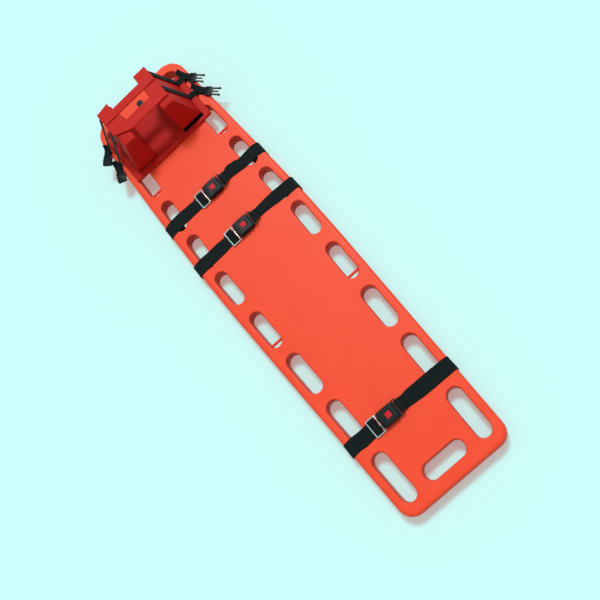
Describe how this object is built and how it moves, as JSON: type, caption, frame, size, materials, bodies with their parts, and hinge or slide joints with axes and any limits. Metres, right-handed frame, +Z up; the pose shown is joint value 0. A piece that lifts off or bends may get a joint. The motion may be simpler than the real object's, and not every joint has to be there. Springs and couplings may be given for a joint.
{
  "type": "spine board",
  "caption": "Moulded rescue board with hand-holds round its rim, push-button body straps and a head immobiliser with wedge blocks and chin and forehead pads.",
  "frame": {"origin": "middle of the flat runner under the board, where it rests", "axes": "+X to the right-hand side of the board seen from its foot end, +Y to the head end, +Z up out of the carrying face"},
  "size_m": [0.5219, 1.84, 0.2157],
  "materials": {
    "board": "moulded, semi-gloss",
    "foam": "rigid foam",
    "pins": "moulded, semi-gloss",
    "webbing": "woven",
    "black_plastic": "fine moulded grain",
    "steel": "polished",
    "spring_steel": "brushed",
    "button": "moulded, gloss",
    "coated_foam": "vinyl coated foam",
    "pad_vinyl": "vinyl coated foam",
    "grip": "hook and loop"
  },
  "bodies": {
    "board": {"board_body": "board", "foam_core": "foam", "clip_pins": "pins", "vent_plug": "black_plastic", "chest_left_webbing": "webbing", "chest_right_webbing": "webbing", "chest_tongue": "black_plastic", "chest_buckle_base": "black_plastic", "chest_buckle_cover": "black_plastic", "chest_adjuster": "steel", "chest_spring": "spring_steel", "waist_left_webbing": "webbing", "waist_right_webbing": "webbing", "waist_tongue": "black_plastic", "waist_buckle_base": "black_plastic", "waist_buckle_cover": "black_plastic", "waist_adjuster": "steel", "waist_spring": "spring_steel", "leg_left_webbing": "webbing", "leg_right_webbing": "webbing", "leg_tongue": "black_plastic", "leg_buckle_base": "black_plastic", "leg_buckle_cover": "black_plastic", "leg_adjuster": "steel", "leg_spring": "spring_steel"},
    "chest_release": {"chest_button": "button", "chest_latch": "spring_steel"},
    "waist_release": {"waist_button": "button", "waist_latch": "spring_steel"},
    "leg_release": {"leg_button": "button", "leg_latch": "spring_steel"},
    "immobiliser_base": {"base_pad": "coated_foam", "left_grip_patch": "grip", "right_grip_patch": "grip"},
    "left_block": {"left_head_block": "coated_foam"},
    "right_block": {"right_head_block": "coated_foam"},
    "forehead_strap": {"forehead_pad": "pad_vinyl", "forehead_left_tie": "webbing", "forehead_right_tie": "webbing", "forehead_left_clip": "black_plastic", "forehead_right_clip": "black_plastic"},
    "chin_strap": {"chin_pad": "pad_vinyl", "chin_left_tie": "webbing", "chin_right_tie": "webbing", "chin_left_clip": "black_plastic", "chin_right_clip": "black_plastic"}
  },
  "joints": [
    {"name": "chest_button_press", "type": "slide", "parent": "board", "child": "chest_release", "axis": [0, 0, -1], "range_m": [0, 0.0031], "stiffness_N_per_m": 1500, "springref_m": -0.002, "deforming": ["chest_spring"]},
    {"name": "waist_button_press", "type": "slide", "parent": "board", "child": "waist_release", "axis": [0, 0, -1], "range_m": [0, 0.0031], "stiffness_N_per_m": 1500, "springref_m": -0.002, "deforming": ["waist_spring"]},
    {"name": "leg_button_press", "type": "slide", "parent": "board", "child": "leg_release", "axis": [0, 0, -1], "range_m": [0, 0.0031], "stiffness_N_per_m": 1500, "springref_m": -0.002, "deforming": ["leg_spring"]},
    {"name": "immobiliser_base_lift", "type": "slide", "parent": "board", "child": "immobiliser_base", "axis": [0, 0, 1], "range_m": [0, 0.12]},
    {"name": "left_block_shift", "type": "slide", "parent": "immobiliser_base", "child": "left_block", "axis": [1, 0, 0], "range_m": [0, 0.03]},
    {"name": "right_block_shift", "type": "slide", "parent": "immobiliser_base", "child": "right_block", "axis": [-1, 0, 0], "range_m": [0, 0.03]},
    {"name": "forehead_strap_lift", "type": "slide", "parent": "immobiliser_base", "child": "forehead_strap", "axis": [0, 0, 1], "range_m": [0, 0.1]},
    {"name": "chin_strap_lift", "type": "slide", "parent": "immobiliser_base", "child": "chin_strap", "axis": [0, 0, 1], "range_m": [0, 0.1]}
  ]
}
